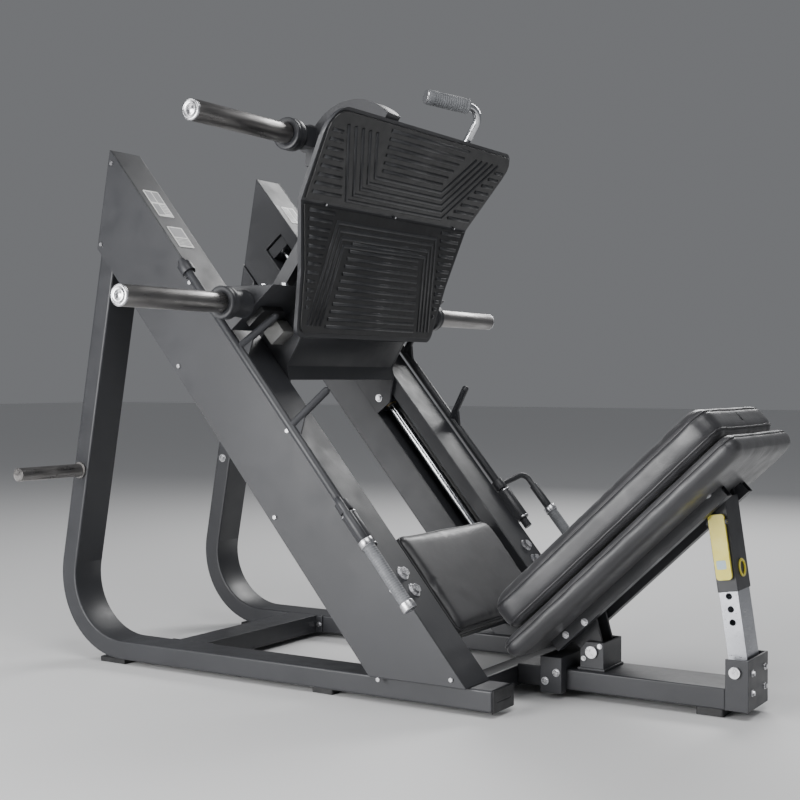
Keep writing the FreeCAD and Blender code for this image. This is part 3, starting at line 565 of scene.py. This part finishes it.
def rib(bm, points, up, out, origin):
    """Raised round-topped bar along (y, t) points on a mat."""
    path = [origin + up * t + ACROSS * y for y, t in points]
    half = RIB_WIDTH / 2
    turns = [math.pi * k / RIB_STEPS for k in range(RIB_STEPS + 1)]
    section = [(-half * math.cos(a), RIB_HEIGHT * math.sin(a) - RIB_SUNK) for a in turns]
    rings = []
    count = len(path)
    for i, p in enumerate(path):
        before = path[max(0, i - 1)]
        after = path[min(count - 1, i + 1)]
        if 0 < i < count - 1:
            a = (p - before).normalized()
            b = (after - p).normalized()
            run = (a + b).normalized()
            stretch = 1 / max(0.35, run.dot(a))
        else:
            run = (after - before).normalized()
            stretch = 1.0
        side = run.cross(out)
        rings.append([bm.verts.new(p + side * w * stretch + out * h) for w, h in section])
    sides = len(section)
    for a, b in zip(rings, rings[1:]):
        for k in range(sides):
            face = bm.faces.new((a[k], a[(k + 1) % sides], b[(k + 1) % sides], b[k]))
            face.smooth = True
            # material 1 is the lighter rib rubber, a painted highlight
            face.material_index = 1
    bm.faces.new(rings[0]).material_index = 1
    bm.faces.new(rings[-1][::-1]).material_index = 1


def mat_piece(name, node, origin, up, out, outline, ribs, radii):
    """Rubber mat: thin eased sheet with its raised ribs. Outline and ribs are (y, t) on the mat's face."""
    bm = bmesh.new()
    loop = rounded_loop([origin + up * t + ACROSS * y - out * MAT_SUNK for y, t in outline], radii, 5)
    plate(bm, loop, out, MAT_THICK, MAT_EDGE)
    for points in ribs:
        rib(bm, points, up, out, origin - out * RIB_SUNK)
    mesh = mesh_from(bm, name, False)
    # the ribs get the lighter rubber as a painted highlight
    add(name, mesh, "black_rubber", "sled", node, extra=("rib_highlight_rubber",))


def mat_face(node, up):
    """Foot of a mat's face, and the face's length up the plate."""
    low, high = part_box(node)
    length = (high[2] - low[2]) / up.z
    return Vector((high[0], 0, high[2])) - up * length, length


def both_sides(start, edge, t):
    """A short rib on each side of the mat, from start out to edge."""
    return [[(sign * start, t), (sign * edge, t)] for sign in (-1, 1)]


MAT_CORNER = 0.042
SQUARE = 0.004
FRAME_PITCH = 0.0185

# lower mat: four nested frames open at the foot, level ribs inside them, short ones outside
low_front, low_len = mat_face("foot_mat_lower", LOW_UP)
low_top = low_len - 0.002
low_outline = [(0.311, 0.002), (0.340, 0.160), (0.389, low_top),
               (-0.389, low_top), (-0.340, 0.160), (-0.311, 0.002)]
low_ribs = []
for k in range(4):
    top = low_len - 0.034 - FRAME_PITCH * k
    half = 0.240 - 0.014 * k
    foot = 0.290 - 0.018 * k
    low_ribs.append([(-foot, 0.020), (-half, top), (half, top), (foot, 0.020)])
for k in range(12):
    t = 0.020 + 0.0195 * k
    half = 0.212 - 0.05 * k / 11
    low_ribs.append([(-half, t), (half, t)])
for k in range(14):
    t = 0.022 + 0.0215 * k
    edge = 0.304 + 0.078 * t / low_len
    start = 0.290 - 0.050 * t / low_len + 0.018
    if edge - 0.012 - start > 0.006:
        low_ribs += both_sides(start, edge - 0.012, t)
mat_piece("foot_mat_lower_ribbed", "foot_mat_lower", low_front, LOW_UP, LOW_OUT, low_outline, low_ribs,
          [0.020, 0.04, SQUARE, SQUARE, 0.04, 0.020])

# upper mat: five nested open trays, level ribs inside them, short ones outside
TRAY_TOP = 0.202
TRAY_SLOPE = 0.753
top_front, top_len = mat_face("foot_mat_upper", TOP_UP)
top_edge = top_len - 0.001
top_outline = [(0.391, 0.002), (0.449, top_edge), (-0.449, top_edge), (-0.391, 0.002)]
top_ribs = []
for k in range(5):
    base = 0.016 + FRAME_PITCH * k
    half = 0.232 - 0.017 * k
    edge = half + TRAY_SLOPE * (TRAY_TOP - base)
    top_ribs.append([(-edge, TRAY_TOP), (-half, base), (half, base), (edge, TRAY_TOP)])
for t in (0.112, 0.133, 0.154, 0.175, 0.196, 0.217):
    half = 0.142 + 0.45 * max(0.0, t - 0.100)
    top_ribs.append([(-half, t), (half, t)])
for k in range(8):
    t = 0.024 + 0.0225 * k
    start = 0.256 + 0.74 * (t - 0.016)
    edge = 0.391 + 0.25 * t - 0.016
    if edge - start > 0.014:
        top_ribs += both_sides(start, edge, t)
mat_piece("foot_mat_upper_ribbed", "foot_mat_upper", top_front, TOP_UP, TOP_OUT, top_outline, top_ribs,
          [SQUARE, MAT_CORNER, MAT_CORNER, SQUARE])


# ---- weight horns ----------------------------------------------------------------------------------------
HUB_R = 0.0325
DISC_R = 0.0402
# depth of the whole collar, and of its disc
COLLARS = {"lower": (0.089, 0.030), "upper": (0.048, 0.036)}


def collar_profile(depth, disc):
    """Hub that widens into a disc with a shallow groove round its rim."""
    step = depth - disc
    hub = [(0, 0), (0.0345, 0), (0.0330, 0.0025), (HUB_R, 0.006), (HUB_R, step - 0.004)]
    shoulder = [(0.0340, step - 0.0008), (0.0375, step), (0.0392, step + 0.0008), (DISC_R, step + 0.003)]
    rim = [(DISC_R, depth - 0.016), (0.0396, depth - 0.0145), (0.0396, depth - 0.0125),
           (DISC_R, depth - 0.011), (DISC_R, depth - 0.004), (0.0392, depth - 0.0015)]
    face = [(0.0372, depth - 0.0004), (0.0290, depth), (0.0270, depth - 0.0015), (0, depth - 0.0015)]
    return hub + shoulder + rim + face


CAP_PROFILE = [(0, 0), (0.0250, 0), (0.0252, 0.0006), (0.0252, 0.0032), (0.0240, 0.0052), (0.0205, 0.0060),
               (0.0190, 0.0058), (0.0182, 0.0048), (0.0100, 0.0046), (0.0090, 0.0056), (0, 0.0058)]
collars = bmesh.new()
caps = bmesh.new()
for mount in record["mounts"]:
    if "horn" not in mount["name"]:
        continue
    out = Vector(mount["axis"])
    reach = out * mount["dims"]["length_mm"] / 1000 / 2
    centre = Vector(mount["pos_m"])
    depth, disc = COLLARS["lower" if mount["name"].startswith("lower") else "upper"]
    lathe(collars, collar_profile(depth, disc), centre - reach - out * depth, out, 64)
    lathe(caps, CAP_PROFILE, centre + reach, out, 64)
add("horn_collars_turned", mesh_from(collars, "horn_collars_turned"), "frame_paint", "sled", "horn_collars")
add("horn_caps_turned", mesh_from(caps, "horn_caps_turned"), "bright_steel", "sled", "horn_end_caps")


# ---- grips -----------------------------------------------------------------------------------------------
RINGS_START = 0.010
GROOVE = 0.0012


def grip_profile(collar, low, radius, pitch, rise, ring, count, length):
    """Closed profile of a rubber grip: its collar's points, then rings with narrow grooves between them.

    The grooves have radius low. A ring is full from rise to ring above its groove's start."""
    profile = list(collar)
    for k in range(count):
        h = RINGS_START + pitch * k
        profile += [(low, h), (low, h + GROOVE), (radius, h + rise), (radius, h + ring)]
    bore = collar[0][0]
    return profile + [(radius, length - 0.004), (radius - 0.001, length), (bore, length)]


LOCK_GRIP_HALF = 0.086
LOCK_GRIP_COLLAR = [(0.0082, 0), (0.0150, 0), (0.0168, 0.0012), (0.0168, 0.0045), (0.0150, 0.0062)]
LOCK_GRIP_RING = [(0.0084, 0), (0.0170, 0), (0.0176, 0.001), (0.0176, 0.0150), (0.0170, 0.0160),
                  (0.0084, 0.0160)]
down_rail = -UP_RAIL
for side in ("left", "right"):
    body = "lock_" + side
    centre = mid("lock_grip_" + side)
    bm = bmesh.new()
    profile = grip_profile(LOCK_GRIP_COLLAR, 0.0144, 0.0150, pitch=0.0058, rise=0.0020, ring=0.0048, count=26,
                           length=2 * LOCK_GRIP_HALF)
    ring_lathe(bm, profile, centre - down_rail * LOCK_GRIP_HALF, down_rail, 40)
    name = "lock_grip_ribbed_" + side
    add(name, mesh_from(bm, name), "grip_rubber", body, "lock_grip_" + side)
    bm = bmesh.new()
    ring_lathe(bm, LOCK_GRIP_RING, centre - down_rail * (LOCK_GRIP_HALF + 0.0121), down_rail, 40)
    end_ring = soft_edge(0.0176, 0.0172, 0.0210, 0.0022)
    lathe(bm, end_ring, centre + down_rail * (LOCK_GRIP_HALF - 0.0145), down_rail, 40)
    name = "lock_grip_rings_" + side
    add(name, mesh_from(bm, name), "bright_steel", body)

# the push handle's last straight run, and where its grip starts on it
GRIP_BEND = Vector((-0.326, 0.205, 1.480)) + FRAME_SHIFT
GRIP_END = Vector((-0.421, 0.070, 1.503)) + FRAME_SHIFT
GRIP_START = 0.0463
GRIP_PITCH = 0.0064
PUSH_GRIP_COLLAR = [(0.0112, 0), (0.0196, 0), (0.0206, 0.0012), (0.0206, 0.0045), (0.0192, 0.0062)]
grip_axis = (GRIP_END - GRIP_BEND).normalized()
grip_len = (GRIP_END - GRIP_BEND).length - GRIP_START
bm = bmesh.new()
profile = grip_profile(PUSH_GRIP_COLLAR, 0.0192, 0.0200, pitch=GRIP_PITCH, rise=0.0021, ring=0.0052,
                       count=int((grip_len - 0.018) / GRIP_PITCH), length=grip_len)
ring_lathe(bm, profile, GRIP_BEND + grip_axis * GRIP_START, grip_axis, 40)
add("push_grip_ribbed", mesh_from(bm, "push_grip_ribbed"), "grip_rubber", "sled", "push_grip")
bm = bmesh.new()
lathe(bm, soft_edge(0.0196, 0.0186, 0.0052, 0.0018), GRIP_END - grip_axis * 0.0002, grip_axis, 40)
add("push_grip_cap", mesh_from(bm, "push_grip_cap"), "bright_steel", "sled")

# ---- bright rings on the lock bearing tubes, and bolts of the backrest's frame ---------------------------
BEARING_ENDS = (1.2015, 1.2935)
LOCK_SIDE = 0.390
BEARING_RING = [(0.0184, 0), (0.0194, 0.0005), (0.0197, 0.0015), (0.0197, 0.0035), (0.0194, 0.0045),
                (0.0184, 0.005)]
for sign, side in ((-1, "left"), (1, "right")):
    bm = bmesh.new()
    for s in BEARING_ENDS:
        ring_lathe(bm, BEARING_RING, rail(s, LOCK_HEIGHT, sign * LOCK_SIDE), down_rail, 48)
    add("lock_bearing_rings_" + side, mesh_from(bm, "lock_bearing_rings_" + side), "bright_steel", "frame")


def hex_bolt(bm, at, axis, r):
    """Washer with a chamfered hexagon head on it."""
    lathe(bm, soft_edge(r * 1.35, r * 1.35, 0.0018, 0.0005, 2), at, axis, 32)
    lathe(bm, [(0, 0.0017), (r, 0.0017), (r, r * 0.62), (r * 0.82, r * 0.75), (0, r * 0.75)], at, axis, 6)


hinge_at = Vector(joints["backrest_recline"]["pos_m"])
FRAME_SIDE = 0.0879
BOLTS_FROM_HINGE = ((-0.052, 0.041), (-0.004, 0.076))
bm = bmesh.new()
for sign in (-1, 1):
    for dx, dz in BOLTS_FROM_HINGE:
        hex_bolt(bm, hinge_at + Vector((dx, sign * FRAME_SIDE, dz)), (0, sign, 0), 0.0065)
add("backrest_frame_bolts", mesh_from(bm, "backrest_frame_bolts", False), "bright_steel", "backrest")


# ---- labels on the beams, blank --------------------------------------------------------------------------
def oblong(a0, a1, b0, b1, point):
    """Corners of an oblong in order, each made by point(a, b)."""
    return [point(a, b) for a, b in ((a0, b0), (a1, b0), (a1, b1), (a0, b1))]


def label(name, s0, s1, y0, y1, rows):
    """Blank instruction plate: pale sheet with plain grey blocks and lines, given as fractions of it."""
    bm = bmesh.new()
    rect = oblong(s0, s1, y0, y1, lambda s, y: rail(s, 0.0, y))
    plate(bm, rounded_loop(rect, 0.004, 4), RAIL_N, 0.0008)
    for a, b, c, d in rows:
        spot = oblong(a, b, c, d, lambda f, g: rail(s0 + (s1 - s0) * f, 0.0007, y0 + (y1 - y0) * g))
        plate(bm, rounded_loop(spot, 0.0012, 3), RAIL_N, 0.0004, mat=1)
    mesh = mesh_from(bm, name, False)
    add(name, mesh, "label_white", "frame", extra=("label_grey",))


# where the labels lie across the two beams' top faces
LEFT_LABELS = (-0.345, -0.286)
RIGHT_LABEL = (0.283, 0.345)
blocks = [(0.05, 0.45, 0.08, 0.46), (0.05, 0.45, 0.54, 0.92), (0.52, 0.92, 0.08, 0.46)]
lines = [(0.54 + 0.06 * k, 0.565 + 0.06 * k, 0.54, 0.92) for k in range(6)]
wide_lines = [(0.58 + 0.07 * k, 0.61 + 0.07 * k, 0.1, 0.9) for k in range(5)]
label("beam_label_left_upper", 0.142, 0.236, *LEFT_LABELS, blocks + lines)
label("beam_label_left_lower", 0.272, 0.344, *LEFT_LABELS, [(0.06, 0.5, 0.1, 0.9)] + wide_lines)
label("beam_label_right", 0.112, 0.178, *RIGHT_LABEL, [(0.08, 0.92, 0.1, 0.42), (0.08, 0.92, 0.55, 0.9)])

# ---- lever inlay -----------------------------------------------------------------------------------------
strut_axis = Vector(joints["strut_slide"]["axis"]).normalized()
strut_across = Vector((strut_axis.z, 0, -strut_axis.x))
base = mid("release_lever")
base.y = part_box("release_lever")[0][1]
bm = bmesh.new()
rect = oblong(-0.050, -0.030, -0.011, 0.011, lambda t, w: base + strut_axis * t + strut_across * w)
plate(bm, rounded_loop(rect, 0.003, 4), (0, -1, 0), 0.0006, 0.0002)
add("release_lever_inlay", mesh_from(bm, "release_lever_inlay", False), "inlay_blue", "release_lever")

# ---- edges eased on the metal nodes ----------------------------------------------------------------------
LEFT_AS_THEY_ARE = {"back_cushion", "back_shell", "seat_pad", "foot_mat_lower", "foot_mat_upper",
                    "horn_collars", "horn_end_caps", "lock_grip_left", "lock_grip_right", "push_grip",
                    "strut_inner"}
ROUND_EDGES = {"side_panel_left": 0.002, "side_panel_right": 0.002, "base_tube_left": 0.005,
               "base_tube_right": 0.005, "rail_beam_left": 0.003, "rail_beam_right": 0.003,
               "rear_cross_brace": 0.003, "front_cross_tube": 0.003, "spine_tube": 0.003}
FINE_EDGES = {"foot_plate": 0.002, "frame_bolts": 0.0008, "sled_bolts": 0.0008, "rubber_feet": 0.003}
OTHER_EDGES = 0.0014
for node, obj in frame["nodes"].items():
    if node in ROUND_EDGES:
        eased(obj, ROUND_EDGES[node], 3, clamp=False)
    elif node not in LEFT_AS_THEY_ARE:
        eased(obj, FINE_EDGES.get(node, OTHER_EDGES))

# ---- studio ----------------------------------------------------------------------------------------------
bpy.ops.mesh.primitive_plane_add(size=60, location=(0, 0, 0))
floor = bpy.context.object
floor.name = "studio_floor"
floor_mat = Mat("studio_floor", (0.80, 0.80, 0.80), 0.7)
floor_mat.bump(floor_mat.noise(120.0, 3.0), 0.0004, 0.25)
floor.data.materials.append(floor_mat.m)

world = bpy.data.worlds.new("studio")
bpy.context.scene.world = world
world.use_nodes = True
world.node_tree.nodes["Background"].inputs["Color"].default_value = (0.86, 0.88, 0.92, 1)
world.node_tree.nodes["Background"].inputs["Strength"].default_value = 0.2


def softbox(name, at, look, size, power):
    """Soft rectangular light at a place, turned to another."""
    light = bpy.data.lights.new(name, "AREA")
    light.shape = "RECTANGLE"
    light.size, light.size_y = size
    light.energy = power
    obj = bpy.data.objects.new(name, light)
    bpy.context.scene.collection.objects.link(obj)
    obj.location = at
    obj.rotation_euler = (Vector(look) - Vector(at)).to_track_quat("-Z", "Y").to_euler()


softbox("key_light", (-1.0, -3.6, 0.9), (0.2, -0.4, 0.4), (2.2, 1.6), 150)
softbox("high_light", (-2.4, -2.8, 3.6), (0, 0, 0.7), (2.0, 2.0), 34)
softbox("top_light", (1.4, -1.6, 3.4), (0, 0, 0.6), (2.0, 2.0), 64)
softbox("side_light", (4.0, -1.8, 1.3), (0, 0, 0.9), (1.2, 1.6), 7)
softbox("back_light", (-0.5, 4.0, 3.3), (0, 0, 0.9), (2.4, 1.6), 130)

# the camera that was fitted to the photograph: its lens, how far round and down it looks, and its place
camera = bpy.data.cameras.new("camera")
camera.lens = 61.77
camera.sensor_width = 36.0
cam = bpy.data.objects.new("camera", camera)
bpy.context.scene.collection.objects.link(cam)
azimuth, pitch = math.radians(31.91), math.radians(0.897)
cam.location = Vector((1.436, -3.047, 0.761)) + Vector((FRAME_SHIFT.x, 0, 0))
look = Vector((-math.sin(azimuth) * math.cos(pitch), math.cos(azimuth) * math.cos(pitch), -math.sin(pitch)))
cam.rotation_euler = look.to_track_quat("-Z", "Y").to_euler()
bpy.context.scene.camera = cam
bpy.context.scene.view_settings.view_transform = "AgX"
